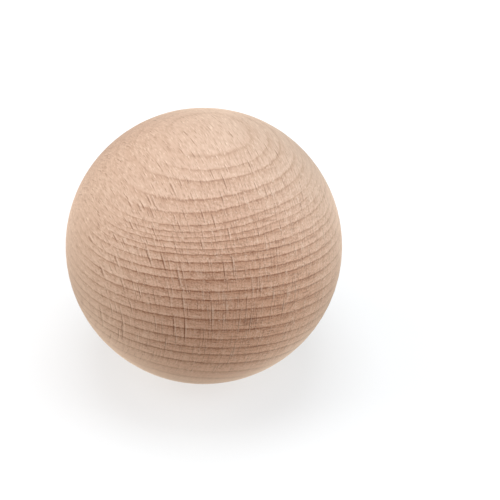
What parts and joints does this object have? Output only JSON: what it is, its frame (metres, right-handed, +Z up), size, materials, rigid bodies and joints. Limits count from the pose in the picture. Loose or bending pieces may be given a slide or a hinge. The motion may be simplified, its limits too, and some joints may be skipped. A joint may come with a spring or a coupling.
{
  "type": "wooden ball",
  "caption": "Solid turned wooden ball, sanded smooth and left raw: a plain sphere to roll, juggle with, or set on a rod, cup or stand as a knob or finial.",
  "frame": {"origin": "centre of the ball", "axes": "+Y along the fibres, which lie level; +Z up, across the growth rings from the heart of the tree towards the bark, about 10 degrees off square to them; +X level, along the rings but for the same lean"},
  "size_m": [0.045, 0.045, 0.045],
  "materials": {
    "beech": "raw, fine sanded"
  },
  "bodies": {
    "root": {"ball": "beech"}
  },
  "joints": []
}
